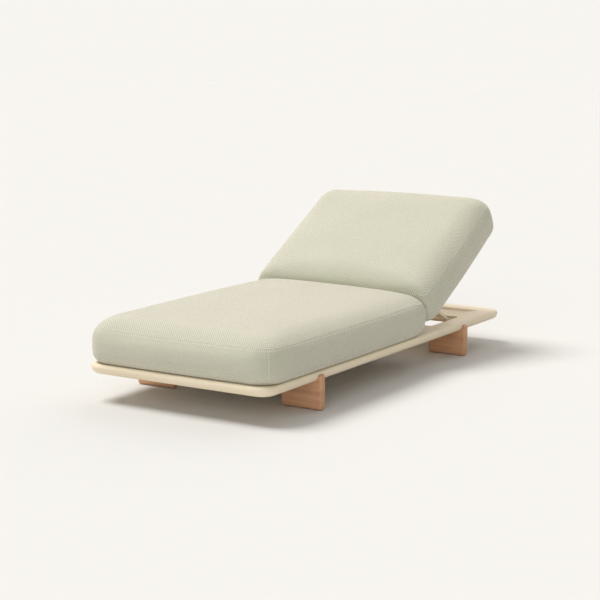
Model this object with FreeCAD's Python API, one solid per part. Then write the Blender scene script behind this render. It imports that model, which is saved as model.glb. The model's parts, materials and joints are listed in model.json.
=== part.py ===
import FreeCAD, Part
import math
import os

from FreeCAD import Placement, Rotation, Vector

# Spa relaxation lounger: a low platform on four panel feet, a boxed seat cushion, and a
# hinged backrest that a prop frame holds up from a window in the platform.
# Millimetres and degrees. The origin is on the floor under the platform's centre,
# +Y points to the head end, +Z is up, and +X is on the right seen from the foot end, which is
# the side that piece names call right.

# Platform: one board with a bullnose edge
platform_length = 2072.0
platform_width = 900.0
platform_thickness = 42.0
platform_top = 160.0
platform_corner_radius = 70.0
platform_top_round = 14.0
platform_bottom_round = 27.0

# Window in the platform for the prop frame, the ledge and shallow recess behind it, and the
# relief under them that thins the board there
window_front = 450.0
window_length = 276.0
window_side_rail = 80.0
window_corner_radius = 10.0
ledge_width = 31.0
recess_length = 175.0
recess_depth = 10.0
recess_side_slope = 60.0
recess_end_slope = 14.0
relief_depth = 15.0
relief_overlap = 14.0

# Panel feet and what fastens them
foot_width = 193.0
foot_thickness = 35.0
foot_lip = 14.5
foot_lip_top = 147.0
foot_edge_round = 9.0
foot_fit_gap = 0.3
front_foot_place = -653.0
rear_foot_place = 621.0
stud_radius = 4.0
stud_length = 52.0
stud_depth_in_platform = 24.0
sleeve_radius = 6.0
sleeve_length = 16.0
front_stud_insets = (52.0, 132.0)
rear_stud_insets = (50.0, 80.0)
glide_radius = 8.0
glide_thickness = 2.0
glide_stem_radius = 2.0
glide_stem_length = 14.0
glide_end_inset = 32.0

# Cross beams under the platform
beam_end_inset = 120.0
beam_width = 60.0
beam_depth = 24.0
beam_edge_round = 4.0
front_beam_place = -540.0
rear_beam_place = 862.0
beam_screw_insets = (40.0, 230.0)

# Screws: shank radius, head radius, head height and length under the head's face
beam_screw = (2.5, 5.0, 3.0, 38.0)
hinge_screw = (1.9, 3.6, 2.0, 14.0)
bracket_screw = (1.9, 3.6, 2.0, 14.0)
rack_screw = (2.0, 4.0, 2.4, 32.0)

# Clearances
shank_clearance = 0.05
pin_clearance = 0.05
side_clearance = 0.5
flat_gap = 0.4
cut_overrun = 20.0

# Hinge line of the backrest, and the hinges
hinge_place = 272.0
recline_angle = 29.5
knuckle_radius = 7.5
knuckle_count = 3
hinge_width = 90.0
hinge_spread = 560.0
leaf_length = 46.0
leaf_thickness = 3.0
leaf_corner_radius = 5.0
leaf_web = 2.5
hinge_pin_radius = 2.5
hinge_pin_head_radius = 4.0
hinge_pin_head_length = 1.5
knuckle_side_gap = 0.3
leaf_screw_inset = 12.0

# Backrest panel
panel_start = 10.0
panel_length = 735.0
panel_side_inset = 65.0
panel_thickness = 20.0
panel_corner_radius = 40.0
panel_edge_round = 3.0
buffer_radius = 9.0
buffer_thickness = 3.0
buffer_stand = 0.2
front_buffer_place = 405.0
front_buffer_spread = 600.0
rear_buffer_inset = 51.0
rear_buffer_spread = 240.0

# Seat cushion
seat_front_inset = 6.0
seat_thickness = 200.0
seat_corner_radius = 98.0
seat_lean_angle = 12.0

# Back cushion, measured in its own lying position from the hinge line
back_far_end = 787.0
back_thickness = 210.0
back_corner_radius = 60.0

# Form that both cushions share
cushion_overhang = 7.0
bottom_round = 34.0
top_round = 84.0
crown_rise = 17.0
meeting_round = 30.0
meeting_corner_radius = 45.0
low_corner_radius = 110.0
side_swell = 5.0
cushion_gap = 1.2
meeting_height = 90.0
meeting_setback = 19.5
hinge_end_round = 60.0
cover_thickness = 3.0
core_gap = 0.3
strip_thickness = 1.2
strip_width = 50.0
seat_strip_spread = 520.0
seat_strip_front_inset = 180.0
seat_strip_rear_inset = 190.0
back_strip_spread = 460.0
back_strip_start = 90.0
back_strip_end = 680.0

# Prop frame: struts, cross bar, rollers, brackets and racks
prop_crank = 215.0
prop_drop = 19.6
rack_slope_angle = 2.4
strut_wall_gap = 19.0
strut_thickness = 10.0
strut_depth = 16.0
strut_edge_round = 2.5
prop_bar_radius = 9.0
spigot_radius = 5.0
roller_length = 12.0
ear_thickness = 3.0
ear_radius = 9.0
bracket_plate_length = 48.0
bracket_plate_width = 44.0
bracket_screw_inset = 7.0
pivot_pin_radius = 4.0
pivot_head_radius = 6.0
pivot_head_length = 1.5
rack_width = 12.0
rack_front = 608.0
rack_end_gap = 12.0
rack_bottom = 122.0
rack_corner_radius = 3.0
rack_screw_insets = (36.0, 11.0)
rack_screw_height = 128.0
notch_recline_angles = (29.5, 22.0, 0.0)
notch_depth = 3.5
roller_gap = 0.4

# Steps round the bottom and top edges, and of the crown from the edge to the middle
bottom_turns = (0, 18, 36, 54, 72, 90)
top_turns = (0, 20, 40, 60, 78)
crown_shares = (0.05, 0.22, 0.45, 0.7, 0.9)

# How near to a height an edge counts as level with it, as a share of the board's thickness
level_share = 0.001

# How far the crown's rise reaches in from each end, as shares of half the length
far_crown_share = 0.6
hinge_crown_share = 0.15

# Limits of corner radius and side swell on a small outline, as shares of its half width
corner_limit_share = 0.8
swell_limit_share = 0.1

# Places and sizes that follow from the sizes above
window_width = platform_width - 2 * window_side_rail
beam_length = platform_width - 2 * beam_end_inset
panel_width = platform_width - 2 * panel_side_inset
cushion_width = platform_width + 2 * cushion_overhang
strut_spread = window_width - 2 * strut_wall_gap
seat_front = seat_front_inset - platform_length / 2
rear_buffer_place = platform_length / 2 - rear_buffer_inset
platform_bottom = platform_top - platform_thickness
hinge_height = platform_top + knuckle_radius + flat_gap
window_rear = window_front + window_length
rack_rear = window_rear - rack_end_gap
relief_top = platform_bottom + relief_depth
panel_under = -knuckle_radius
panel_upper = panel_under + panel_thickness
cushion_seat = panel_upper + strip_thickness
foot_outer = platform_width / 2 + foot_lip
foot_inner = foot_outer - foot_width
seat_bottom = platform_top + strip_thickness
hinge_line = Vector(0, hinge_place, hinge_height)


def rounded_outline(x0, x1, y0, y1, radius, z):
    """Closed wire of a rectangle with round corners, level at height z."""
    corners = [
        (x1 - radius, y1 - radius, 0),
        (x0 + radius, y1 - radius, 90),
        (x0 + radius, y0 + radius, 180),
        (x1 - radius, y0 + radius, 270),
    ]
    arcs = []
    for cx, cy, start in corners:
        points = []
        for turn in (0, 45, 90):
            angle = math.radians(start + turn)
            points.append(Vector(cx + radius * math.cos(angle), cy + radius * math.sin(angle), z))
        arcs.append(points)
    edges = []
    for here, after in zip(arcs, arcs[1:] + arcs[:1]):
        edges.append(Part.Arc(*here).toShape())
        edges.append(Part.LineSegment(here[2], after[0]).toShape())
    return Part.Wire(edges)


def rounded_plate(x0, x1, y0, y1, z0, z1, radius):
    """Upright prism on a rectangle with round corners."""
    face = Part.Face(rounded_outline(x0, x1, y0, y1, radius, z0))
    return face.extrude(Vector(0, 0, z1 - z0))


def block(x0, x1, y0, y1, z0, z1):
    """Plain box between two corners."""
    return Part.makeBox(x1 - x0, y1 - y0, z1 - z0, Vector(x0, y0, z0))


def rod(start, end, radius):
    """Cylinder from one point to another."""
    way = end.sub(start)
    return Part.makeCylinder(radius, way.Length, start, way)


def edges_at_height(shape, z):
    """Edges of a shape that lie level at height z."""
    near = platform_thickness * level_share
    found = []
    for edge in shape.Edges:
        box = edge.BoundBox
        if abs(box.ZMin - z) < near and abs(box.ZMax - z) < near:
            found.append(edge)
    return found


def both_sides(shape):
    """The shape and its mirror image across the lounger's middle plane."""
    return [shape, shape.mirror(Vector(0, 0, 0), Vector(1, 0, 0))]


def screw_parts(size):
    """Countersunk screw and the hole it needs, head face at the origin, pointing to -Z."""
    shank, head, head_height, length = size
    cone = Part.makeCone(head, shank, head_height, Vector(0, 0, 0), Vector(0, 0, -1))
    shaft = rod(Vector(0, 0, 0), Vector(0, 0, -length), shank)
    body = cone.fuse(shaft).removeSplitter()
    free = shank_clearance
    sink = Part.makeCone(head + free, shank + free, head_height, Vector(0, 0, 0), Vector(0, 0, -1))
    bore = rod(Vector(0, 0, 0), Vector(0, 0, -length - free), shank + free)
    return body, sink.fuse(bore)


def place(shape, at, pointing):
    """Copy of a shape whose -Z is turned to a direction, moved to a point."""
    turned = shape.copy()
    turned.Placement = Placement(at, Rotation(Vector(0, 0, -1), pointing))
    return turned


def screws_at(size, places, pointing):
    """Screws and their holes at a list of places, all pointing the same way."""
    body, hole = screw_parts(size)
    screws = [place(body, at, pointing) for at in places]
    holes = [place(hole, at, pointing) for at in places]
    return screws, holes


def recline(shape):
    """A piece of the backrest, modelled lying flat, turned up to the rest position."""
    raised = shape.copy()
    raised.rotate(hinge_line, Vector(1, 0, 0), recline_angle)
    return raised


def lying_to_rest(point):
    """Point of the lying backrest where it is at the rest position."""
    angle = math.radians(recline_angle)
    y = point.y - hinge_place
    z = point.z - hinge_height
    turned_y = y * math.cos(angle) - z * math.sin(angle)
    turned_z = y * math.sin(angle) + z * math.cos(angle)
    return Vector(point.x, hinge_place + turned_y, hinge_height + turned_z)


def save(node, solids):
    """Write one node, a single solid or a group of separate solids."""
    shape = solids[0] if len(solids) == 1 else Part.makeCompound(solids)
    shape.exportStep("parts/" + node + ".step")
    print(node, "solids", len(shape.Solids), "valid", shape.isValid(), "volume", round(shape.Volume))


# Cushions
def cushion_section(half_width, hinge_end, far_end, hinge_radius, far_radius, z):
    """Level outline with round corners whose free sides swell a little between them."""
    start = min(hinge_end, far_end)
    end = max(hinge_end, far_end)
    limit = corner_limit_share * min(half_width, (end - start) / 2)
    radii = {hinge_end: min(hinge_radius, limit), far_end: min(far_radius, limit)}
    slant = math.sqrt(0.5)
    arcs = []
    for sx, sy in ((1, 1), (-1, 1), (-1, -1), (1, -1)):
        y = end if sy > 0 else start
        radius = radii[y]
        cx = sx * (half_width - radius)
        cy = y - sy * radius
        side = Vector(cx + sx * radius, cy, z)
        middle = Vector(cx + sx * radius * slant, cy + sy * radius * slant, z)
        top = Vector(cx, cy + sy * radius, z)
        arcs.append([side, middle, top] if sx == sy else [top, middle, side])
    centre = Vector(0, (start + end) / 2, z)
    swell = min(side_swell, half_width * swell_limit_share)
    edges = []
    for here, after in zip(arcs, arcs[1:] + arcs[:1]):
        edges.append(Part.Arc(*here).toShape())
        halfway = here[2].add(after[0]).multiply(0.5)
        across = after[0].sub(here[2])
        if abs(halfway.y - hinge_end) < swell:
            edges.append(Part.LineSegment(here[2], after[0]).toShape())
            continue
        outward = Vector(-across.y, across.x, 0).normalize()
        if outward.dot(centre.sub(halfway)) > 0:
            outward = outward.multiply(-1)
        pushed = halfway.add(outward.multiply(swell))
        edges.append(Part.Arc(here[2], pushed, after[0]).toShape())
    return Part.Wire(edges)


def cushion_form(spec, wall):
    """Crowned cushion as a loft of level outlines; wall insets it all over.

    spec holds the half width, the free end, the hinge end's line and the thickness. The
    hinge end leans, so that the two cushions meet when the backrest is up.
    """
    thickness = spec["thickness"] - 2 * wall
    base = spec["base"] + wall
    half = spec["width"] / 2 - wall
    half_length = abs(spec["far"] - spec["meeting"].y) / 2 - wall
    edge_height = thickness - crown_rise
    levels = []
    for angle in bottom_turns:
        turn = math.radians(angle)
        height = hinge_end_round * (1 - math.cos(turn))
        below = max(bottom_round - height, 0)
        inset = bottom_round - math.sqrt(bottom_round ** 2 - below ** 2)
        ease = 1 - math.sin(turn)
        corner = meeting_corner_radius + (low_corner_radius - meeting_corner_radius) * ease
        levels.append((height, inset, inset, hinge_end_round * ease, corner))
    for angle in top_turns:
        turn = math.radians(angle)
        inset = top_round * (1 - math.cos(turn))
        hinge_inset = meeting_round * (1 - math.cos(turn)) ** 2
        height = edge_height - top_round + top_round * math.sin(turn)
        levels.append((height, inset, inset, hinge_inset, meeting_corner_radius))
    for share in crown_shares:
        inset = top_round + (half - top_round) * share
        far_inset = top_round + (half_length - top_round) * share * far_crown_share
        hinge_inset = meeting_round + (half_length - meeting_round) * share * hinge_crown_share
        rise = crown_rise * (1 - (1 - share) ** 2)
        levels.append((edge_height + rise, inset, far_inset, hinge_inset, meeting_corner_radius))
    towards = spec["towards"]
    wires = []
    for height, side_inset, far_inset, hinge_inset, hinge_corner in levels:
        rise = base + height - spec["meeting"].z
        hinge_end = spec["meeting"].y + spec["lean"] * rise + towards * (wall + hinge_inset)
        far_end = spec["far"] - towards * (wall + far_inset)
        wires.append(cushion_section(half - side_inset, hinge_end, far_end, hinge_corner - wall,
                                     spec["corner"] - wall, base + height))
    return Part.makeLoft(wires, True, True)


# Where the two cushions meet when the backrest is up, halfway up their facing ends
meeting_rest = Vector(0, hinge_place - meeting_setback, hinge_height + meeting_height)
seat_spec = {
    "width": cushion_width, "thickness": seat_thickness, "corner": seat_corner_radius,
    "base": seat_bottom, "far": seat_front, "towards": -1,
    "meeting": Vector(0, meeting_rest.y - cushion_gap / 2, meeting_rest.z),
    "lean": -math.tan(math.radians(seat_lean_angle)),
}
lean_back = math.radians(recline_angle - seat_lean_angle)
swing = math.radians(recline_angle)
meeting_y = meeting_rest.y - hinge_place
meeting_lying = Vector(
    0,
    hinge_place + meeting_y * math.cos(swing) + meeting_height * math.sin(swing) + cushion_gap,
    hinge_height - meeting_y * math.sin(swing) + meeting_height * math.cos(swing),
)
back_spec = {
    "width": cushion_width, "thickness": back_thickness, "corner": back_corner_radius,
    "base": hinge_height + cushion_seat, "far": hinge_place + back_far_end, "towards": 1,
    "meeting": meeting_lying, "lean": math.tan(lean_back),
}


def cushion_pieces(spec):
    """Cover with its inner space, and the foam core that fills it."""
    outer = cushion_form(spec, 0)
    cover = outer.cut(cushion_form(spec, cover_thickness))
    core = cushion_form(spec, cover_thickness + core_gap)
    return cover, core


# Platform and feet
def platform_board(grow):
    """Bullnose board, grown outwards by a gap where it serves to notch the feet."""
    half_x = platform_width / 2 + grow
    half_y = platform_length / 2 + grow
    radius = platform_corner_radius + grow
    board = rounded_plate(-half_x, half_x, -half_y, half_y, platform_bottom, platform_top, radius)
    board = board.makeFillet(platform_top_round, edges_at_height(board, platform_top))
    return board.makeFillet(platform_bottom_round, edges_at_height(board, platform_bottom))


def window_cut():
    """The window, through the board."""
    half = window_width / 2
    return rounded_plate(-half, half, window_front, window_rear, platform_bottom - cut_overrun,
                         platform_top + cut_overrun, window_corner_radius)


def recess_cut():
    """Shallow recess behind the ledge: long slopes at its sides, short ones at its ends."""
    half = window_width / 2
    front = window_rear + ledge_width
    outlines = []
    for rise in (0, recess_depth + cut_overrun):
        z = platform_top - recess_depth + rise
        x = half - recess_side_slope + recess_side_slope * rise / recess_depth
        y0 = front + recess_end_slope - recess_end_slope * rise / recess_depth
        y1 = front + recess_length - recess_end_slope + recess_end_slope * rise / recess_depth
        corners = [Vector(-x, y0, z), Vector(x, y0, z), Vector(x, y1, z), Vector(-x, y1, z)]
        outlines.append(Part.makePolygon(corners + corners[:1]))
    return Part.makeLoft(outlines, True, True)


def relief_cut():
    """Relief under the ledge and the recess, open to the window."""
    half = window_width / 2
    rear = window_rear + ledge_width + recess_length + relief_overlap
    return rounded_plate(-half, half, window_rear - relief_overlap, rear, platform_bottom - cut_overrun,
                         relief_top, window_corner_radius)


def foot(at_y):
    """Right-hand panel foot with its notch for the platform's edge."""
    half = foot_thickness / 2
    panel = block(foot_inner, foot_outer, at_y - half, at_y + half, glide_thickness, foot_lip_top)
    panel = panel.makeFillet(foot_edge_round, panel.Edges)
    return panel.cut(platform_board(foot_fit_gap))


def foot_fastening(at_y, insets):
    """Studs, threaded inserts and their holes for one right-hand foot."""
    studs = []
    inserts = []
    foot_holes = []
    platform_holes = []
    free = shank_clearance
    for inset in insets:
        x = foot_outer - inset
        top = platform_bottom + stud_depth_in_platform
        studs.append(rod(Vector(x, at_y, top - stud_length), Vector(x, at_y, top), stud_radius))
        for sign, holes, reach in ((1, platform_holes, stud_depth_in_platform),
                                   (-1, foot_holes, stud_length - stud_depth_in_platform)):
            mouth = Vector(x, at_y, platform_bottom)
            inner = Vector(x, at_y, platform_bottom + sign * sleeve_length)
            deep = Vector(x, at_y, platform_bottom + sign * (reach + free))
            sleeve = rod(mouth, inner, sleeve_radius)
            inserts.append(sleeve.cut(rod(mouth, inner, stud_radius + free)))
            hole = rod(mouth, inner, sleeve_radius + free).fuse(rod(mouth, deep, stud_radius + free))
            holes.append(hole)
    return studs, inserts, foot_holes, platform_holes


def floor_glide(x, y):
    """Nail-in glide and the hole for its stem."""
    disc = rod(Vector(x, y, 0), Vector(x, y, glide_thickness), glide_radius)
    tip = Vector(x, y, glide_thickness + glide_stem_length)
    stem = rod(Vector(x, y, 0), tip, glide_stem_radius)
    deeper = Vector(x, y, glide_thickness + glide_stem_length + shank_clearance)
    hole = rod(Vector(x, y, 0), deeper, glide_stem_radius + shank_clearance)
    return disc.fuse(stem).removeSplitter(), hole


def cross_beam(at_y, seat):
    """Beam under the platform with softened lower edges, its top at its seat."""
    half_x = beam_length / 2
    half_y = beam_width / 2
    low = seat - beam_depth
    beam = block(-half_x, half_x, at_y - half_y, at_y + half_y, low, seat)
    return beam.makeFillet(beam_edge_round, edges_at_height(beam, low))


# Hinges
def knuckles(x0, x1, bore):
    """Row of knuckle lengths along the hinge line, as (x start, x end) pairs."""
    pitch = (x1 - x0) / knuckle_count
    barrels = []
    for index in range(knuckle_count):
        start = x0 + index * pitch + (knuckle_side_gap / 2 if index else 0)
        end = x0 + (index + 1) * pitch - (knuckle_side_gap / 2 if index < knuckle_count - 1 else 0)
        a = Vector(start, hinge_place, hinge_height)
        b = Vector(end, hinge_place, hinge_height)
        barrels.append((start, end, rod(a, b, knuckle_radius), rod(a, b, bore)))
    return barrels


def hinge(x_middle):
    """Fixed leaf, moving leaf and pin of one hinge, the moving leaf lying flat."""
    x0 = x_middle - hinge_width / 2
    x1 = x_middle + hinge_width / 2
    fixed = rounded_plate(x0, x1, hinge_place - knuckle_radius - leaf_length, hinge_place,
                          platform_top - leaf_thickness, platform_top, leaf_corner_radius)
    under = hinge_height - knuckle_radius
    moving = rounded_plate(x0, x1, hinge_place, hinge_place + knuckle_radius + leaf_length,
                           under, under + leaf_thickness, leaf_corner_radius)
    clear = knuckle_radius + flat_gap
    bore = hinge_pin_radius + pin_clearance
    for index, (start, end, barrel, hole) in enumerate(knuckles(x0, x1, bore)):
        if index % 2 == 0:
            web = block(start, end, hinge_place - knuckle_radius, hinge_place - knuckle_radius + leaf_web,
                        platform_top - leaf_thickness, hinge_height)
            fixed = fixed.fuse(barrel.fuse(web))
            slot = block(start - knuckle_side_gap, end + knuckle_side_gap, hinge_place - clear,
                         hinge_place + clear, under - cut_overrun, under + cut_overrun)
            moving = moving.cut(slot)
        else:
            foot_plate = block(start, end, hinge_place, hinge_place + clear + leaf_corner_radius,
                               under, under + leaf_thickness)
            moving = moving.fuse(barrel.fuse(foot_plate))
    whole_bore = rod(Vector(x0 - cut_overrun, hinge_place, hinge_height),
                     Vector(x1 + cut_overrun, hinge_place, hinge_height), bore)
    fixed = fixed.cut(whole_bore).removeSplitter()
    moving = moving.cut(whole_bore).removeSplitter()
    a = Vector(x0 - hinge_pin_head_length, hinge_place, hinge_height)
    b = Vector(x1, hinge_place, hinge_height)
    head = rod(a, Vector(x0, hinge_place, hinge_height), hinge_pin_head_radius)
    pin = rod(a, b, hinge_pin_radius).fuse(head)
    return fixed, moving, pin.removeSplitter()


def leaf_screw_places(x_middle, towards, z):
    """Three countersunk screws in a row and two nearer the knuckles, on a hinge leaf."""
    reach = knuckle_radius + leaf_length - leaf_screw_inset
    side = hinge_width / 2 - leaf_screw_inset
    row = [Vector(x_middle + x, hinge_place + towards * reach, z) for x in (-side, 0, side)]
    near = knuckle_radius + leaf_screw_inset
    pair = [Vector(x_middle + x, hinge_place + towards * near, z) for x in (-side / 2, side / 2)]
    return row + pair


# Backrest panel and prop
def backrest_panel():
    """Panel that carries the back cushion, modelled lying flat."""
    half = panel_width / 2
    y0 = hinge_place + panel_start
    y1 = y0 + panel_length
    z0 = hinge_height + panel_under
    z1 = hinge_height + panel_upper
    panel = rounded_plate(-half, half, y0, y1, z0, z1, panel_corner_radius)
    rims = edges_at_height(panel, z0) + edges_at_height(panel, z1)
    return panel.makeFillet(panel_edge_round, rims)


def prop_bracket():
    """Right-hand clevis bracket, let into the panel's underside, modelled lying flat."""
    x = strut_spread / 2
    y = hinge_place + prop_crank
    z = hinge_height - prop_drop
    under = hinge_height + panel_under
    half_x = bracket_plate_width / 2
    half_y = bracket_plate_length / 2
    bracket = rounded_plate(x - half_x, x + half_x, y - half_y, y + half_y, under,
                            under + ear_thickness, leaf_corner_radius)
    inner = strut_thickness / 2 + side_clearance
    for sign in (-1, 1):
        near = x + sign * inner
        far = x + sign * (inner + ear_thickness)
        x0 = min(near, far)
        x1 = max(near, far)
        lug = rod(Vector(x0, y, z), Vector(x1, y, z), ear_radius)
        neck = block(x0, x1, y - ear_radius, y + ear_radius, z, under + ear_thickness)
        bracket = bracket.fuse(lug.fuse(neck))
    outer = inner + ear_thickness + cut_overrun
    bore = rod(Vector(x - outer, y, z), Vector(x + outer, y, z), pivot_pin_radius + pin_clearance)
    return bracket.cut(bore).removeSplitter()


def pivot_pin():
    """Right-hand pivot pin with its two heads, modelled lying flat."""
    x = strut_spread / 2
    y = hinge_place + prop_crank
    z = hinge_height - prop_drop
    reach = strut_thickness / 2 + side_clearance + ear_thickness
    pin = rod(Vector(x - reach, y, z), Vector(x + reach, y, z), pivot_pin_radius)
    for sign in (-1, 1):
        a = x + sign * reach
        b = x + sign * (reach + pivot_head_length)
        pin = pin.fuse(rod(Vector(min(a, b), y, z), Vector(max(a, b), y, z), pivot_head_radius))
    return pin.removeSplitter()


def bar_distance(recline):
    """Distance from the hinge line to the cross bar at a recline angle.

    The struts are as long as the crank from the hinge line to their pivot, so the bar runs
    on a straight line through the hinge line, sloping down to the rear.
    """
    crank = math.hypot(prop_crank, prop_drop)
    lift = recline - math.degrees(math.atan2(prop_drop, prop_crank)) + rack_slope_angle
    return 2 * crank * math.cos(math.radians(lift))


def bar_place(recline):
    """Middle of the cross bar at a recline angle."""
    distance = bar_distance(recline)
    slope = math.radians(rack_slope_angle)
    return Vector(0, hinge_place + distance * math.cos(slope), hinge_height - distance * math.sin(slope))


def strut(pivot, bar):
    """Right-hand prop strut between its pivot and the cross bar."""
    way = bar.sub(pivot)
    length = way.Length
    radius = strut_depth / 2
    half = strut_thickness / 2
    slab = block(-half, half, 0, length, -radius, radius)
    ends = [rod(Vector(-half, y, 0), Vector(half, y, 0), radius) for y in (0, length)]
    body = slab.fuse(ends).removeSplitter()
    rims = [edge for edge in body.Edges if abs(edge.BoundBox.XMax - edge.BoundBox.XMin) < half]
    body = body.makeFillet(strut_edge_round, rims)
    for y, radius in ((0, pivot_pin_radius + pin_clearance), (length, spigot_radius + shank_clearance)):
        body = body.cut(rod(Vector(-strut_thickness, y, 0), Vector(strut_thickness, y, 0), radius))
    angle = math.degrees(math.atan2(way.z, way.y))
    body.Placement = Placement(pivot, Rotation(Vector(1, 0, 0), angle))
    return body


def rack():
    """Right-hand notched rack on the window's side wall."""
    wall = window_width / 2
    slope = math.radians(rack_slope_angle)
    normal = Vector(0, math.sin(slope), math.cos(slope))
    along = Vector(0, math.cos(slope), -math.sin(slope))
    crest = bar_place(0).sub(normal * (prop_bar_radius + roller_gap))
    front = crest.add(along * ((rack_front - crest.y) / math.cos(slope)))
    rear = crest.add(along * ((rack_rear - crest.y) / math.cos(slope)))
    inner = wall - rack_width
    outline = [Vector(inner, rack_front, rack_bottom), Vector(inner, rack_rear, rack_bottom),
               Vector(inner, rear.y, rear.z), Vector(inner, front.y, front.z)]
    face = Part.Face(Part.makePolygon(outline + outline[:1]))
    bar = face.extrude(Vector(rack_width, 0, 0))
    uprights = [edge for edge in bar.Edges if edge.BoundBox.XMax - edge.BoundBox.XMin > rack_width / 2]
    bar = bar.makeFillet(rack_corner_radius, uprights)
    radius = prop_bar_radius + roller_gap
    for recline_at in notch_recline_angles:
        middle = bar_place(recline_at).sub(normal * notch_depth)
        start = Vector(inner - cut_overrun, middle.y, middle.z)
        end = Vector(wall + cut_overrun, middle.y, middle.z)
        bar = bar.cut(rod(start, end, radius))
    return bar


def build():
    """Model every piece and write its node."""
    os.makedirs("parts", exist_ok=True)
    half_strip = strip_width / 2

    # Feet, studs, inserts and glides
    feet = {}
    studs = []
    inserts = []
    glides = []
    platform_holes = []
    for end, at_y, insets in (("front", front_foot_place, front_stud_insets),
                              ("rear", rear_foot_place, rear_stud_insets)):
        foot_studs, foot_inserts, foot_holes, board_holes = foot_fastening(at_y, insets)
        panel = foot(at_y).cut(foot_holes)
        for x in (foot_inner + glide_end_inset, foot_outer - glide_end_inset):
            glide, hole = floor_glide(x, at_y)
            panel = panel.cut(hole)
            glides += both_sides(glide)
        feet["foot_" + end + "_right"], feet["foot_" + end + "_left"] = both_sides(panel)
        for group, pieces in ((studs, foot_studs), (inserts, foot_inserts), (platform_holes, board_holes)):
            for piece in pieces:
                group += both_sides(piece)
    for node, panel in feet.items():
        save(node, [panel])
    save("foot_studs", studs)
    save("threaded_inserts", inserts)
    save("floor_glides", glides)

    # Cross beams and their screws
    beam_screws = []
    for name, at_y, seat in (("front", front_beam_place, platform_bottom),
                             ("middle", hinge_place, platform_bottom),
                             ("rear", rear_beam_place, relief_top)):
        low = seat - beam_depth
        places = []
        for inset in beam_screw_insets:
            for sign in (-1, 1):
                places.append(Vector(sign * (beam_length / 2 - inset), at_y, low))
        screws, holes = screws_at(beam_screw, places, Vector(0, 0, 1))
        beam_screws += screws
        platform_holes += holes
        save("cross_beam_" + name, [cross_beam(at_y, seat).cut(holes)])
    save("cross_beam_screws", beam_screws)

    # Hinges
    panel_holes = []
    screws_below = []
    screws_above = []
    pins = []
    under = hinge_height + panel_under
    for side, x in (("right", hinge_spread / 2), ("left", -hinge_spread / 2)):
        fixed, moving, pin = hinge(x)
        fixed_places = leaf_screw_places(x, -1, platform_top)
        moving_places = leaf_screw_places(x, 1, under)
        down, down_holes = screws_at(hinge_screw, fixed_places, Vector(0, 0, -1))
        up, up_holes = screws_at(hinge_screw, moving_places, Vector(0, 0, 1))
        save("hinge_fixed_leaf_" + side, [fixed.cut(down_holes)])
        save("hinge_moving_leaf_" + side, [recline(moving.cut(up_holes))])
        save("hinge_pin_" + side, [pin])
        screws_below += down
        screws_above += [recline(screw) for screw in up]
        x0 = x - hinge_width / 2
        x1 = x + hinge_width / 2
        reach = knuckle_radius + leaf_length
        platform_pocket = rounded_plate(x0, x1, hinge_place - reach, hinge_place,
                                        platform_top - leaf_thickness, platform_top + cut_overrun,
                                        leaf_corner_radius)
        panel_pocket = rounded_plate(x0, x1, hinge_place, hinge_place + reach,
                                     under - cut_overrun, under + leaf_thickness, leaf_corner_radius)
        platform_holes += down_holes + [platform_pocket]
        panel_holes += up_holes + [panel_pocket]
    save("hinge_screws_platform", screws_below)
    save("hinge_screws_panel", screws_above)

    # Prop brackets, pivot pins and bracket screws
    bracket = prop_bracket()
    x = strut_spread / 2
    y = hinge_place + prop_crank
    half_x = bracket_plate_width / 2
    half_y = bracket_plate_length / 2
    places = []
    for sx in (-1, 1):
        for sy in (-1, 1):
            at_x = x + sx * (half_x - bracket_screw_inset)
            at_y = y + sy * (half_y - bracket_screw_inset)
            places.append(Vector(at_x, at_y, under))
    screws, holes = screws_at(bracket_screw, places, Vector(0, 0, 1))
    bracket = bracket.cut(holes)
    pocket = rounded_plate(x - half_x, x + half_x, y - half_y, y + half_y, under - cut_overrun,
                           under + ear_thickness, leaf_corner_radius)
    for side, solid in zip(("right", "left"), both_sides(bracket)):
        save("prop_bracket_" + side, [recline(solid)])
    for side, solid in zip(("right", "left"), both_sides(pivot_pin())):
        save("prop_pivot_pin_" + side, [recline(solid)])
    bracket_screws = []
    for screw in screws:
        bracket_screws += [recline(solid) for solid in both_sides(screw)]
    save("prop_bracket_screws", bracket_screws)
    for hole in holes + [pocket]:
        panel_holes += both_sides(hole)
    save("backrest_panel", [recline(backrest_panel().cut(panel_holes))])

    # Prop frame
    pivot = lying_to_rest(Vector(x, y, hinge_height - prop_drop))
    bar_middle = bar_place(recline_angle)
    bar_at = Vector(x, bar_middle.y, bar_middle.z)
    for side, solid in zip(("right", "left"), both_sides(strut(pivot, bar_at))):
        save("prop_strut_" + side, [solid])
    shoulder = x - strut_thickness / 2
    roller_start = x + strut_thickness / 2 + side_clearance
    roller_end = roller_start + roller_length
    level = Vector(0, bar_middle.y, bar_middle.z)
    bar = rod(level - Vector(shoulder, 0, 0), level + Vector(shoulder, 0, 0), prop_bar_radius)
    bar = bar.fuse(rod(level - Vector(roller_end, 0, 0), level + Vector(roller_end, 0, 0), spigot_radius))
    save("prop_crossbar", [bar.removeSplitter()])
    roller = rod(level + Vector(roller_start, 0, 0), level + Vector(roller_end, 0, 0), prop_bar_radius)
    bore = rod(level, level + Vector(platform_width, 0, 0), spigot_radius + pin_clearance)
    for side, solid in zip(("right", "left"), both_sides(roller.cut(bore))):
        save("prop_roller_" + side, [solid])

    # Racks and their screws
    inner = window_width / 2 - rack_width
    front_inset, rear_inset = rack_screw_insets
    places = [Vector(inner, rack_front + front_inset, rack_screw_height),
              Vector(inner, rack_rear - rear_inset, rack_screw_height)]
    screws, holes = screws_at(rack_screw, places, Vector(1, 0, 0))
    for side, solid in zip(("right", "left"), both_sides(rack().cut(holes))):
        save("prop_rack_" + side, [solid])
    rack_screws = []
    for screw in screws:
        rack_screws += both_sides(screw)
    save("prop_rack_screws", rack_screws)
    for hole in holes:
        platform_holes += both_sides(hole)

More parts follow.
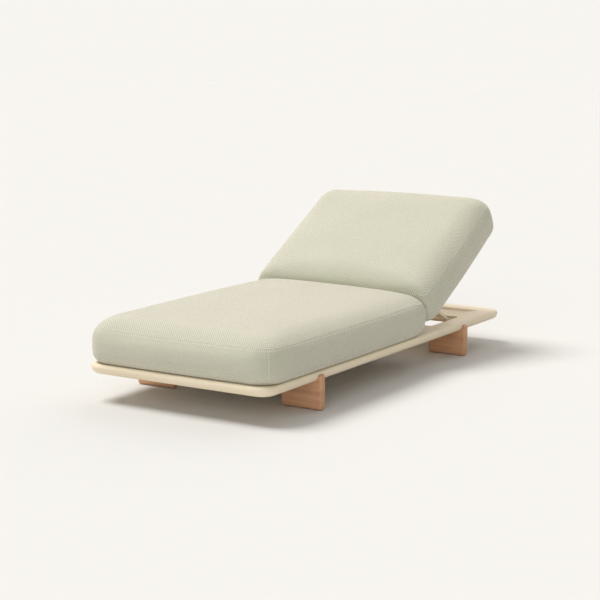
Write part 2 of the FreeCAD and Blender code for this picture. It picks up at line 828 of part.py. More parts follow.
    # Buffers under the lying panel
    buffers = []
    top = platform_top + buffer_stand
    for at_y, spread in ((front_buffer_place, front_buffer_spread),
                         (rear_buffer_place, rear_buffer_spread)):
        a = Vector(spread / 2, at_y, top - buffer_thickness)
        buffers += both_sides(rod(a, Vector(spread / 2, at_y, top), buffer_radius))
        hole = rod(a, Vector(spread / 2, at_y, top + cut_overrun), buffer_radius + shank_clearance)
        platform_holes += both_sides(hole)
    save("backrest_buffers", buffers)

    # Platform with everything that is cut into it
    platform = platform_board(0).cut([window_cut(), recess_cut(), relief_cut()])
    save("platform", [platform.cut(platform_holes)])

    # Cushions and the strips that keep them from sliding
    seat_cover, seat_core = cushion_pieces(seat_spec)
    save("seat_cushion_cover", [seat_cover])
    save("seat_foam_core", [seat_core])
    back_cover, back_core = cushion_pieces(back_spec)
    save("back_cushion_cover", [recline(back_cover)])
    save("back_foam_core", [recline(back_core)])
    x = seat_strip_spread / 2
    strip = block(x - half_strip, x + half_strip, seat_front + seat_strip_front_inset,
                  hinge_place - seat_strip_rear_inset, platform_top, platform_top + strip_thickness)
    save("seat_grip_strips", both_sides(strip))
    x = back_strip_spread / 2
    upper = hinge_height + panel_upper
    strip = block(x - half_strip, x + half_strip, hinge_place + back_strip_start,
                  hinge_place + back_strip_end, upper, upper + strip_thickness)
    save("back_grip_strips", [recline(solid) for solid in both_sides(strip)])


build()
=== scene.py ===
"""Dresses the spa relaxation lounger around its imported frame.

The platform, feet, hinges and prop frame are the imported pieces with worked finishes. The two
upholstered cushions are cloth-simulated covers with sewn seams and stitching, and they stand for
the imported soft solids.
"""

from __future__ import annotations

import json
import logging
import math
from dataclasses import dataclass, field
from enum import Enum, IntEnum

import bpy
import numpy as np
from mathutils import Matrix, Vector
from mathutils.bvhtree import BVHTree

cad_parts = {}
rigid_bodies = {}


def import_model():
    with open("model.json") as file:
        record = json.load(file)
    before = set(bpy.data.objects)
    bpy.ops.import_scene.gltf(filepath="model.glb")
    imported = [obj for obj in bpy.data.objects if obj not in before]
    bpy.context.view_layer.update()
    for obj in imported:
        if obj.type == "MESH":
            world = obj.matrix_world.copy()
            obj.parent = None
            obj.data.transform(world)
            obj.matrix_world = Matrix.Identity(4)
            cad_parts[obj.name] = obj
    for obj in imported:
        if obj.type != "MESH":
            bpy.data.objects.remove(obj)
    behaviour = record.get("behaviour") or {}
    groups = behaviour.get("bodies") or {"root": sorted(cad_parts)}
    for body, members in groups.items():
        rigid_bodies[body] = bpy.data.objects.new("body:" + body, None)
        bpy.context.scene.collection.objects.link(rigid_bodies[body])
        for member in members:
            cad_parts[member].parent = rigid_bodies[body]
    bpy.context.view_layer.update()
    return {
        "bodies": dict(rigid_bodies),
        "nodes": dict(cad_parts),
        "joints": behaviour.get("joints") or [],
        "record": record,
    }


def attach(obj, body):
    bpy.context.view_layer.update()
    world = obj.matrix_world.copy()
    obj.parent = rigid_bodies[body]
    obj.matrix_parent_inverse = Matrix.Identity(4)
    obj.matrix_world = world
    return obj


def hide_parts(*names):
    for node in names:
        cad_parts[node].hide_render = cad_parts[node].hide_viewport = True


log = logging.getLogger("lounger")

MM = 0.001
TINY = 1e-9

Items = bpy.types.bpy_prop_collection
Material = bpy.types.Material
Node = bpy.types.Node
Object = bpy.types.Object
Socket = bpy.types.NodeSocket
Tree = bpy.types.NodeTree
Three = tuple[float, float, float]
Colour = Three
Shade = tuple[float, float, float, float]
Number = float | Socket
Triple = Three | Socket
Spot = tuple[Vector, Vector, Vector]


def shaded(colour: Colour, factor: float = 1.0) -> Shade:
    """The colour made darker or lighter by a factor, with full alpha as a colour socket wants it."""
    return (*(min(1.0, factor * part) for part in colour), 1.0)


class NodeSheet:
    """Places and wires the nodes of one material or node group."""

    def __init__(self, tree: Tree) -> None:
        """Start with an empty tree."""
        self.tree = tree
        tree.nodes.clear()

    def feed(self, node: Node, inputs: dict) -> Node:
        """Link or set inputs of a node.

        Args:
            node: the node.
            inputs: value or socket for each input, by name or number.

        Returns:
            The same node.
        """
        for name, value in inputs.items():
            if isinstance(value, Socket):
                self.tree.links.new(value, node.inputs[name])
            else:
                node.inputs[name].default_value = value
        return node

    def add(self, kind: str, inputs: dict | None = None, **settings: object) -> Node:
        """Add a node.

        Args:
            kind: Blender's node type, such as ShaderNodeMath.
            inputs: value or socket for each input, by name or number.
            settings: properties of the node itself.

        Returns:
            The new node.
        """
        node = self.tree.nodes.new(kind)
        for name, value in settings.items():
            setattr(node, name, value)
        return self.feed(node, inputs or {})

    def math(self, operation: str, *values: Number, clamp: bool = False) -> Socket:
        """Add a Math node and return its result."""
        node = self.add("ShaderNodeMath", dict(enumerate(values)), operation=operation, use_clamp=clamp)
        return node.outputs[0]

    def vector(self, operation: str, *values: Triple) -> Socket:
        """Add a Vector Math node and return its vector."""
        return self.add("ShaderNodeVectorMath", dict(enumerate(values)), operation=operation).outputs[0]

    def grown(self, vector: Triple, factor: Number) -> Socket:
        """Vector times a factor."""
        return self.add("ShaderNodeVectorMath", {0: vector, "Scale": factor}, operation="SCALE").outputs[0]

    def parts(self, vector: Socket) -> list[Socket]:
        """The X, Y and Z of a vector."""
        return list(self.add("ShaderNodeSeparateXYZ", {0: vector}).outputs)

    def varied(self, middle: Number, amount: float, noise: Socket) -> Socket:
        """Middle raised and lowered by up to half an amount, with a noise round 0.5."""
        return self.math("MULTIPLY_ADD", noise, amount, self.math("SUBTRACT", middle, 0.5 * amount))

    def ramp(self, value: Socket, low: float, high: float) -> Socket:
        """Smooth step of a value from 0 at low to 1 at high."""
        limits = {0: value, 1: low, 2: high, 3: 0.0, 4: 1.0}
        return self.add("ShaderNodeMapRange", limits, interpolation_type="SMOOTHSTEP").outputs[0]

    def blend(self, share: Number, first: Shade | Socket, second: Shade | Socket) -> Socket:
        """Colour that goes from first to second as share goes from 0 to 1."""
        node = self.add("ShaderNodeMix", {0: share, 6: first, 7: second}, data_type="RGBA")
        return node.outputs[2]

    def noise(self, vector: Socket, scale: Number = 1.0, detail: float = 2.0, rough: float = 0.5) -> Socket:
        """Grey noise between 0 and 1 at a vector."""
        inputs = {"Vector": vector, "Scale": scale, "Detail": detail, "Roughness": rough}
        return self.add("ShaderNodeTexNoise", inputs).outputs[0]

    def mapped(self, vector: Socket, scale: Three = (1, 1, 1), turn: Three = (0, 0, 0)) -> Socket:
        """Vector scaled and turned."""
        node = self.add("ShaderNodeMapping", {"Vector": vector, "Scale": scale, "Rotation": turn})
        return node.outputs[0]


class Group(Enum):
    """Surface effects that several finishes share."""

    WEAVE = "basket_weave"
    GRAIN = "wood_grain"
    VARIATION = "soft_variation"
    SCUFF = "floor_scuff"


class GroupSheet(NodeSheet):
    """The nodes of one shared effect, which takes a vector and numbers and gives numbers."""

    def __init__(self, group: Group, inputs: tuple[str, ...], outputs: tuple[str, ...]) -> None:
        """Start a shader node group.

        Args:
            group: which effect.
            inputs: names of the numbers that it takes after its Vector.
            outputs: names of the numbers that it gives.
        """
        super().__init__(bpy.data.node_groups.new(group.value, "ShaderNodeTree"))
        self.tree.interface.new_socket("Vector", in_out="INPUT", socket_type="NodeSocketVector")
        for side, labels in (("INPUT", inputs), ("OUTPUT", outputs)):
            for label in labels:
                self.tree.interface.new_socket(label, in_out=side, socket_type="NodeSocketFloat")
        self.given = self.add("NodeGroupInput").outputs
        self.out = self.add("NodeGroupOutput")

    def give(self, **outputs: Socket) -> Tree:
        """Link the group's outputs and return its node tree."""
        self.feed(self.out, outputs)
        return self.tree


class GroupShelf:
    """Builds each shared node group once."""

    SLUB_SCALE = 34.0
    FIBRE_SCALE = 900.0
    HEART_BESIDE = 0.06
    HEART_BELOW = 0.16

    def __init__(self) -> None:
        """Start with no group built."""
        self.made: dict[Group, Tree] = {}
        self.makers = {
            Group.WEAVE: self.weave,
            Group.GRAIN: self.grain,
            Group.VARIATION: self.variation,
            Group.SCUFF: self.scuff,
        }

    def tree(self, group: Group) -> Tree:
        """Give the node tree of a shared group, built when it is first asked for.

        Args:
            group: which effect.

        Returns:
            The group's node tree.
        """
        if group not in self.made:
            self.made[group] = self.makers[group]()
        return self.made[group]

    def weave(self) -> Tree:
        """Build a two-by-two basket weave.

        Returns:
            Group that gives the yarns' height, which of the two yarns is on top, and fibres.
        """
        sheet = GroupSheet(Group.WEAVE, ("Cell", "Slub"), ("Height", "Warp", "Thread"))
        vector = sheet.given["Vector"]
        wander = sheet.add("ShaderNodeTexNoise", {"Vector": vector, "Scale": self.SLUB_SCALE})
        centred = sheet.vector("SUBTRACT", wander.outputs[1], (0.5, 0.5, 0.5))
        moved = sheet.vector("ADD", vector, sheet.grown(centred, sheet.given["Slub"]))
        waves = []
        for part in sheet.parts(moved)[:2]:
            turn = sheet.math("MULTIPLY", sheet.math("DIVIDE", part, sheet.given["Cell"]), math.pi)
            cell = sheet.math("SINE", turn)
            yarn = sheet.math("ABSOLUTE", sheet.math("SINE", sheet.math("MULTIPLY", turn, 2.0)))
            waves.append((cell, sheet.math("ABSOLUTE", cell), yarn))
        (cell_u, arch_u, yarn_u), (cell_v, arch_v, yarn_v) = waves
        warp = sheet.math("GREATER_THAN", sheet.math("MULTIPLY", cell_u, cell_v), 0.0)
        over_warp = sheet.math("MULTIPLY", yarn_u, sheet.math("MULTIPLY_ADD", arch_v, 0.5, 0.5))
        over_weft = sheet.math("MULTIPLY", yarn_v, sheet.math("MULTIPLY_ADD", arch_u, 0.5, 0.5))
        height = sheet.add("ShaderNodeMix", {0: warp, 2: over_weft, 3: over_warp}, data_type="FLOAT")
        fibres = sheet.noise(vector, scale=self.FIBRE_SCALE, rough=0.7)
        return sheet.give(Height=height.outputs[0], Warp=warp, Thread=fibres)

    def grain(self) -> Tree:
        """Build wood figure along X, with growth rings round a heart below the piece.

        Returns:
            Group that gives rings, streaks, broad bands and pores.
        """
        sheet = GroupSheet(Group.GRAIN, ("Ring", "Wobble"), ("Rings", "Streaks", "Bands", "Pores"))
        vector = sheet.given["Vector"]
        bend = sheet.noise(sheet.mapped(vector, scale=(2.2, 14.0, 14.0)), detail=3.0)
        _, across, up = sheet.parts(vector)
        beside = sheet.math("POWER", sheet.math("ADD", across, self.HEART_BESIDE), 2.0)
        above = sheet.math("POWER", sheet.math("ADD", up, self.HEART_BELOW), 2.0)
        radius = sheet.math("SQRT", sheet.math("ADD", beside, above))
        wavy = sheet.math("MULTIPLY_ADD", bend, sheet.given["Wobble"], radius)
        turn = sheet.math("MULTIPLY", sheet.math("DIVIDE", wavy, sheet.given["Ring"]), 2 * math.pi)
        rings = sheet.math("MULTIPLY_ADD", sheet.math("SINE", turn), 0.5, 0.5)
        streaks = sheet.noise(sheet.mapped(vector, scale=(4.0, 190.0, 190.0)), detail=4.0, rough=0.65)
        bands = sheet.noise(sheet.mapped(vector, scale=(1.6, 24.0, 24.0)))
        pores = sheet.noise(sheet.mapped(vector, scale=(40.0, 900.0, 900.0)), rough=0.6)
        return sheet.give(Rings=rings, Streaks=streaks, Bands=bands,
                          Pores=sheet.ramp(pores, low=0.56, high=0.72))

    def variation(self) -> Tree:
        """Build broad and fine unevenness for colour, gloss and a hint of surface ripple.

        Returns:
            Group that gives two noises round 0.5, at the scales that it is given.
        """
        sheet = GroupSheet(Group.VARIATION, ("Broad", "Fine"), ("Broad", "Fine"))
        given = sheet.given
        return sheet.give(Broad=sheet.noise(given["Vector"], given["Broad"], detail=3.0),
                          Fine=sheet.noise(given["Vector"], given["Fine"], detail=4.0))

    def scuff(self) -> Tree:
        """Build a worn, dusty band next to the floor.

        Returns:
            Group that gives the band's mask, up to the height that it is given.
        """
        sheet = GroupSheet(Group.SCUFF, ("Height",), ("Mask",))
        share = sheet.math("DIVIDE", sheet.parts(sheet.given["Vector"])[2], sheet.given["Height"])
        near = sheet.math("SUBTRACT", 1.0, share, clamp=True)
        patches = sheet.noise(sheet.given["Vector"], scale=55.0, detail=4.0, rough=0.6)
        return sheet.give(Mask=sheet.math("MULTIPLY", near, sheet.ramp(patches, low=0.35, high=0.65)))


class MaterialSheet(NodeSheet):
    """The nodes of one material, round its Principled shader."""

    def __init__(self, name: str, groups: GroupShelf) -> None:
        """Make the material with its shader, output and Object coordinates in metres.

        Args:
            name: the material's name.
            groups: the shared surface effects.
        """
        self.made = bpy.data.materials.new(name)
        self.made.use_nodes = True
        super().__init__(self.made.node_tree)
        self.groups = groups
        self.shader = self.add("ShaderNodeBsdfPrincipled")
        self.add("ShaderNodeOutputMaterial", {0: self.shader.outputs[0]})
        self.place = self.add("ShaderNodeTexCoord").outputs["Object"]

    def use(self, group: Group, **inputs: object) -> Items:
        """Place a shared group and return its outputs."""
        return self.add("ShaderNodeGroup", inputs, node_tree=self.groups.tree(group)).outputs

    def uneven(self, broad: float, fine: float) -> Items:
        """Place the broad and fine unevenness and return its outputs."""
        return self.use(Group.VARIATION, Vector=self.place, Broad=broad, Fine=fine)

    def relief(self, height: Socket, depth: float, strength: float) -> None:
        """Bump the surface by a height between 0 and 1, depth metres deep."""
        bump = self.add("ShaderNodeBump", {"Height": height, "Distance": depth, "Strength": strength})
        self.feed(self.shader, {"Normal": bump.outputs[0]})


class Finish:
    """Base of every finish: makes one material and wires its shader."""

    name: str

    def material(self, groups: GroupShelf) -> Material:
        """Make the finish as a Blender material.

        Args:
            groups: the shared surface effects.

        Returns:
            The new material.
        """
        sheet = MaterialSheet(self.name, groups)
        self.wire(sheet)
        return sheet.made

    def wire(self, sheet: MaterialSheet) -> None:
        """Connect the finish's colour, roughness and relief."""
        raise NotImplementedError


@dataclass(frozen=True)
class Upholstery(Finish):
    """Fine basket weave of two yarns, with a soft sheen and a painted sheen at grazing angles."""

    name: str = "woven_cover"
    warp: Colour = (0.73, 0.70, 0.59)
    weft: Colour = (0.50, 0.52, 0.40)
    # Painted shade: a darker copy of the weft colour for the gaps between yarns.
    gap: Colour = (0.29, 0.31, 0.23)
    # Painted sheen: tint that lightens the cloth's colour where it is seen at a grazing angle.
    painted_sheen_tint: Colour = (1.10, 1.04, 1.08)
    cell: float = 5.4 * MM
    slub: float = 0.5 * MM
    yarn_relief: float = 0.7 * MM
    cloudiness: float = 0.10
    sheen: float = 0.5
    sheen_tint: Colour = (1.0, 0.96, 0.92)

    def wire(self, sheet: MaterialSheet) -> None:
        """Wire yarn colours, painted shade between them, clouds, sheen and a painted sheen at grazing
        angles.

        Args:
            sheet: the material's nodes.
        """
        cloth = sheet.add("ShaderNodeUVMap", uv_map=Cushion.UV_NAME).outputs[0]
        weave = sheet.use(Group.WEAVE, Vector=cloth, Cell=self.cell, Slub=self.slub)
        yarn = sheet.blend(weave["Warp"], shaded(self.weft), shaded(self.warp))
        # Painted shade: the colour darkens towards the gaps between yarns, where the weave is lowest.
        depth = sheet.ramp(weave["Height"], low=0.0, high=0.45)
        colour = sheet.blend(depth, shaded(self.gap), yarn)
        light = sheet.varied(1.0, self.cloudiness, sheet.uneven(broad=4.0, fine=70.0)["Broad"])
        toned = sheet.grown(colour, sheet.varied(light, self.cloudiness, weave["Thread"]))
        # Painted sheen: the base colour is lightened and warmed towards grazing angles, standing in for the
        # cloth's sheen.
        facing = sheet.add("ShaderNodeLayerWeight", {"Blend": 0.35}).outputs["Facing"]
        painted_sheen_colour = sheet.vector("MULTIPLY", toned, self.painted_sheen_tint)
        sheet.feed(sheet.shader, {"Base Color": sheet.blend(facing, toned, painted_sheen_colour), "Roughness": 0.9,
                                  "Specular IOR Level": 0.25, "Sheen Weight": self.sheen,
                                  "Sheen Roughness": 0.3, "Sheen Tint": shaded(self.sheen_tint)})
        sheet.relief(weave["Height"], self.yarn_relief, strength=0.7)


@dataclass(frozen=True)
class SewingThread(Finish):
    """Twisted cream thread of the seams."""

    name: str = "seam_thread"
    colour: Colour = (0.90, 0.88, 0.79)

    def wire(self, sheet: MaterialSheet) -> None:
        """Wire a slightly lighter yarn than the cover's.

        Args:
            sheet: the material's nodes.
        """
        twist = sheet.uneven(broad=30.0, fine=900.0)["Fine"]
        colour = sheet.blend(twist, shaded(self.colour, 0.85), shaded(self.colour))
        sheet.feed(sheet.shader, {"Base Color": colour, "Roughness": 0.7, "Sheen Weight": 0.2})


@dataclass(frozen=True)
class Lacquer(Finish):
    """Smooth satin lacquer over board or steel."""

    name: str = "cream_lacquer"
    colour: Colour = (0.83, 0.73, 0.555)
    deeper: Colour = (0.79, 0.685, 0.51)
    roughness: float = 0.56
    gloss_change: float = 0.12
    scuff_height: float = 20 * MM
    ripple: float = 0.05 * MM

    def wire(self, sheet: MaterialSheet) -> None:
        """Wire a nearly even cream with a faint cloud, and the ripple of a sprayed coat.

        Args:
            sheet: the material's nodes.
        """
        uneven = sheet.uneven(broad=3.0, fine=160.0)
        cloud = sheet.ramp(uneven["Broad"], low=0.3, high=0.7)
        colour = sheet.blend(cloud, shaded(self.deeper), shaded(self.colour))
        scuff = sheet.use(Group.SCUFF, Vector=sheet.place, Height=self.scuff_height)
        worn = sheet.blend(scuff["Mask"], colour, shaded(self.deeper, 0.8))
        rough = sheet.varied(self.roughness, self.gloss_change, uneven["Broad"])
        sheet.feed(sheet.shader, {"Base Color": worn, "Roughness": rough, "Specular IOR Level": 0.28})
        sheet.relief(uneven["Fine"], self.ripple, strength=0.5)


@dataclass(frozen=True)
class Timber(Finish):
    """Wood with its grain along X."""

    name: str = "oiled_foot_wood"
    light: Colour = (0.69, 0.385, 0.215)
    dark: Colour = (0.44, 0.225, 0.12)
    dust: Colour = (0.5, 0.45, 0.4)
    ring: float = 11.0 * MM
    wobble: float = 0.03
    roughness: float = 0.5
    gloss_change: float = 0.16
    rings_share: float = 0.2
    streaks_share: float = 0.45
    bands_share: float = 0.35
    pores_share: float = 0.35
    dust_share: float = 0.5
    scuff_height: float = 14 * MM
    grain_depth: float = 0.12 * MM

    def wire(self, sheet: MaterialSheet) -> None:
        """Wire growth rings, streaks and pores in two tones.

        Args:
            sheet: the material's nodes.
        """
        grain = sheet.use(Group.GRAIN, Vector=sheet.place, Ring=self.ring, Wobble=self.wobble)
        streaks = sheet.ramp(grain["Streaks"], low=0.25, high=0.75)
        bands = sheet.ramp(grain["Bands"], low=0.35, high=0.6)
        figure = sheet.math("MULTIPLY", grain["Rings"], self.rings_share)
        figure = sheet.math("MULTIPLY_ADD", streaks, self.streaks_share, figure)
        figure = sheet.math("MULTIPLY_ADD", bands, self.bands_share, figure)
        colour = sheet.blend(figure, shaded(self.dark), shaded(self.light))
        pores = sheet.math("MULTIPLY", grain["Pores"], self.pores_share)
        pored = sheet.blend(pores, colour, shaded(self.dark, 0.6))
        scuff = sheet.use(Group.SCUFF, Vector=sheet.place, Height=self.scuff_height)
        dusty = shaded(tuple(0.5 * (wood + dust) for wood, dust in zip(self.light, self.dust)))
        worn = sheet.blend(sheet.math("MULTIPLY", scuff["Mask"], self.dust_share), pored, dusty)
        rough = sheet.varied(self.roughness, self.gloss_change, grain["Streaks"])
        sheet.feed(sheet.shader, {"Base Color": worn, "Roughness": rough})
        sheet.relief(grain["Streaks"], self.grain_depth, strength=0.5)


@dataclass(frozen=True)
class Plywood(Finish):
    """Birch plywood whose layers show on the edges of the tilted backrest panel."""

    name: str = "birch_plywood"
    face: Colour = (0.66, 0.50, 0.32)
    glue: Colour = (0.36, 0.24, 0.14)
    layer: float = 2.9 * MM
    glue_share: float = 0.3
    ring: float = 22 * MM
    wobble: float = 0.06
    grain_depth: float = 0.1 * MM
    tilt: float = 0.0

    def wire(self, sheet: MaterialSheet) -> None:
        """Wire layers across the thickness, and a face grain.

        Args:
            sheet: the material's nodes.
        """
        level = sheet.mapped(sheet.place, turn=(-self.tilt, 0.0, 0.0))
        turn = sheet.math("MULTIPLY", sheet.parts(level)[2], math.pi / self.layer)
        band = sheet.ramp(sheet.math("SINE", turn), low=-0.2, high=0.4)
        grain = sheet.use(Group.GRAIN, Vector=level, Ring=self.ring, Wobble=self.wobble)
        lit = sheet.grown(self.face, sheet.math("MULTIPLY_ADD", grain["Streaks"], 0.3, 0.7))
        deep = sheet.blend(sheet.math("MULTIPLY", band, self.glue_share), lit, shaded(self.glue))
        sheet.feed(sheet.shader, {"Base Color": deep, "Roughness": 0.62})
        sheet.relief(grain["Streaks"], self.grain_depth, strength=0.5)


@dataclass(frozen=True)
class Metal(Finish):
    """Brushed or plated metal, brushed along X."""

    name: str = "brushed_steel"
    colour: Colour = (0.62, 0.62, 0.60)
    roughness: float = 0.32
    smoother: float = 0.1
    gloss_change: float = 0.22
    brush: float = 260.0
    line_depth: float = 0.02 * MM

    def wire(self, sheet: MaterialSheet) -> None:
        """Wire fine brush lines, and a few darker patches.

        Args:
            sheet: the material's nodes.
        """
        brushed = sheet.mapped(sheet.place, scale=(8.0, self.brush, self.brush))
        lines = sheet.noise(brushed, detail=3.0, rough=0.7)
        patches = sheet.ramp(sheet.uneven(broad=25.0, fine=300.0)["Broad"], low=0.35, high=0.75)
        colour = sheet.blend(patches, shaded(self.colour), shaded(self.colour, 0.82))
        rough = sheet.math("MULTIPLY_ADD", lines, self.gloss_change, self.roughness - self.smoother)
        sheet.feed(sheet.shader, {"Base Color": colour, "Roughness": rough, "Metallic": 1.0})
        sheet.relief(lines, self.line_depth, strength=0.4)


@dataclass(frozen=True)
class Moulded(Finish):
    """Moulded plastic, rubber or foam with a fine pebble."""

    name: str = "black_rubber"
    colour: Colour = (0.035, 0.034, 0.033)
    roughness: float = 0.75
    pebble: float = 700.0
    depth: float = 0.06 * MM

    def wire(self, sheet: MaterialSheet) -> None:
        """Wire an even colour with a faint bloom and a fine relief.

        Args:
            sheet: the material's nodes.
        """
        uneven = sheet.uneven(broad=40.0, fine=self.pebble)
        colour = sheet.blend(uneven["Broad"], shaded(self.colour), shaded(self.colour, 1.18))
        sheet.feed(sheet.shader, {"Base Color": colour, "Roughness": self.roughness})
        sheet.relief(uneven["Fine"], self.depth, strength=0.6)


def select_only(obj: Object) -> None:
    """Make an object the only selected one, and the active one.

    Args:
        obj: the object.
    """
    bpy.ops.object.select_all(action="DESELECT")
    obj.select_set(True)
    bpy.context.view_layer.objects.active = obj


def edit_faces(obj: Object, chosen: np.ndarray) -> None:
    """Enter edit mode on an object with only some faces selected.

    Args:
        obj: the mesh object.
        chosen: one truth value for each face.
    """
    select_only(obj)
    mesh = obj.data
    bpy.context.tool_settings.mesh_select_mode = (False, False, True)
    mesh.vertices.foreach_set("select", np.zeros(len(mesh.vertices), dtype=bool))
    mesh.edges.foreach_set("select", np.zeros(len(mesh.edges), dtype=bool))
    mesh.polygons.foreach_set("select", chosen)
    bpy.ops.object.mode_set(mode="EDIT")


def edit_all(obj: Object) -> None:
    """Enter edit mode on an object with every face selected."""
    edit_faces(obj, np.ones(len(obj.data.polygons), dtype=bool))


def apply_modifier(obj: Object, kind: str, **settings: object) -> None:
    """Add a modifier and apply it.

    Args:
        obj: the object.
        kind: Blender's modifier type.
        settings: the modifier's properties.
    """
    select_only(obj)
    modifier = obj.modifiers.new(kind.title(), kind)
    for name, value in settings.items():
        setattr(modifier, name, value)
    bpy.ops.object.modifier_apply(modifier=modifier.name)


def rows_of(items: Items, what: str) -> np.ndarray:
    """Read a vector of each vertex or face of a mesh.

    Args:
        items: the mesh's vertices or faces.
        what: co, normal or center.

    Returns:
        One row of three numbers for each item.
    """
    flat = np.empty(len(items) * 3)
    items.foreach_get(what, flat)
    return flat.reshape(-1, 3)


def move_points(mesh: bpy.types.Mesh, places: np.ndarray) -> None:
    """Write vertex places back to a mesh."""
    mesh.vertices.foreach_set("co", places.ravel())
    mesh.update()


def bell(distance: np.ndarray, width: float) -> np.ndarray:
    """Bell curve that is 1 at no distance and falls off over a width."""
    return np.exp(-((distance / width) ** 2))


@dataclass(frozen=True)
class Fade:
    """Smooth change from 0 at its start to 1 at its end."""

    start: float
    end: float

    def at(self, value: np.ndarray, zero: float = 0.0) -> np.ndarray:
        """How far the change has come.

        Args:
            value: where it is asked for.
            zero: the value that start and end are counted from.

        Returns:
            Share between 0 and 1 for each value.
        """
        low, high = zero + self.start, zero + self.end
        t = np.clip((value - low) / (high - low), 0.0, 1.0)
        return t * t * (3 - 2 * t)


@dataclass
class HingeLine:
    """The backrest's hinge line and how far the backrest is raised at rest."""

    place: Vector
    tilt: float

    def lay(self, obj: Object, direction: int) -> None:
        """Turn a mesh about the hinge line: -1 lays a raised piece flat, 1 raises it again."""
        turn = Matrix.Rotation(direction * self.tilt, 4, "X")
        obj.data.transform(Matrix.Translation(self.place) @ turn @ Matrix.Translation(-self.place))


class End(IntEnum):
    """An end of the lounger, as its direction along Y."""

    FOOT = -1
    HEAD = 1


@dataclass(frozen=True)
class Filling:
    """The cloth simulation that presses a cover outwards, and the most that it may move it."""

    frames: int = 5
    pressure: float = 4.0
    quality: int = 4
    mass: float = 0.3
    tension: float = 18.0
    compression: float = 12.0
    bending: float = 0.4
    rise: float = 8 * MM
    swell: float = 6 * MM

    def press(self, cover: Object, resting: np.ndarray) -> np.ndarray:
        """Run the simulation.

        Args:
            cover: the cover, which is left as it was.
            resting: one truth value for each vertex, true where it is held.

        Returns:
            Places that the simulation gives the vertices, one per row.
        """
        held = cover.vertex_groups.new(name="rest")
        held.add(np.flatnonzero(resting).tolist(), 1.0, "REPLACE")
        select_only(cover)
        cloth = cover.modifiers.new("Cloth", "CLOTH")
        settings = cloth.settings
        settings.quality = self.quality
        settings.mass = self.mass
        settings.tension_stiffness = self.tension
        settings.compression_stiffness = self.compression
        settings.bending_stiffness = self.bending
        settings.use_pressure = True
        settings.uniform_pressure_force = self.pressure
        settings.effector_weights.gravity = 0.0
        settings.vertex_group_mass = held.name
        cloth.collision_settings.use_collision = False
        cloth.point_cache.frame_end = self.frames
        for frame in range(1, self.frames + 1):
            bpy.context.scene.frame_set(frame)
        depsgraph = bpy.context.evaluated_depsgraph_get()
        pressed = rows_of(cover.evaluated_get(depsgraph).data.vertices, "co")
        cover.modifiers.remove(cloth)
        cover.vertex_groups.clear()
        bpy.context.scene.frame_set(1)
        return pressed

    def limited(self, moves: np.ndarray, free: np.ndarray) -> np.ndarray:
        """Soften the cloth's moves to what the foam allows.

        Args:
            moves: what the simulation moved the vertices by.
            free: share of the rise that each vertex may have.

        Returns:
            Moves that stay under the rise and the swell.
        """
        side = np.linalg.norm(moves[:, :2], axis=1, keepdims=True)
        made = moves.copy()
        made[:, :2] *= self.swell * np.tanh(side / self.swell) / np.maximum(side, TINY)
        made[:, 2] = self.rise * np.tanh(moves[:, 2] / self.rise) * free
        return made


@dataclass(frozen=True)
class Stitch:
    """One stitch of the top-stitching, and how the stitches follow each other."""

    length: float = 6.2 * MM
    gap: float = 3.6 * MM
    radius: float = 1.0 * MM
    offset: float = 3.4 * MM
    sides: int = 6
    straight_share: float = 0.6
    end_share: float = 0.2
    dip_share: float = 0.9
    taper: float = 0.6
    search_start: float = 0.15

    END_FACING = 0.9

    @property
    def pitch(self) -> float:
        """Distance from the start of one stitch to the start of the next."""
        return self.length + self.gap

    def model(self) -> Object:
        """Model one stitch along X.

        Returns:
            A short length of thread whose ends dip into the cloth.
        """
        bpy.ops.object.select_all(action="DESELECT")
        bpy.ops.mesh.primitive_cylinder_add(vertices=self.sides, radius=self.radius,
                                            depth=self.straight_share * self.length,
                                            rotation=(0, math.pi / 2, 0), location=(0, 0, self.radius / 2))
        made = bpy.context.object
        bpy.ops.object.transform_apply(location=True, rotation=True, scale=True)
        for side in (-1, 1):
            edit_faces(made, side * rows_of(made.data.polygons, "normal")[:, 0] > self.END_FACING)
            dip = (side * self.end_share * self.length, 0, -self.dip_share * self.radius)
            bpy.ops.mesh.extrude_region_move(TRANSFORM_OT_translate={"value": dip})
            bpy.ops.transform.resize(value=(1.0, self.taper, self.taper))
            bpy.ops.object.mode_set(mode="OBJECT")
        return made

    def lay(self, spots: list[Spot], cover: Object, name: str) -> Object:
        """Copy the stitch to each spot and press it onto the cloth.

        Args:
            spots: place, outward direction and run of each stitch.
            cover: the cover that they lie on.
            name: name of the joined stitches.

        Returns:
            All stitches as one object.
        """
        mesh = cover.data
        tree = BVHTree.FromPolygons([v.co for v in mesh.vertices], [p.vertices[:] for p in mesh.polygons])
        first = self.model()
        row = []
        for start, outward, along in spots:
            place, normal, *_ = tree.ray_cast(start + outward * self.search_start, -outward)
            if place is None:
                continue
            way = (along - normal * along.dot(normal)).normalized()
            turn = Matrix((way, normal.cross(way), normal)).transposed().to_4x4()
            copy = bpy.data.objects.new(first.name, first.data.copy())
            copy.data.transform(Matrix.Translation(place) @ turn)
            bpy.context.scene.collection.objects.link(copy)
            row.append(copy)
        bpy.data.objects.remove(first)
        select_only(row[0])
        for copy in row:
            copy.select_set(True)
        bpy.ops.object.join()
        made = bpy.context.object
        made.name = name
        made.data.name = name
        bpy.ops.object.shade_smooth()
        return made


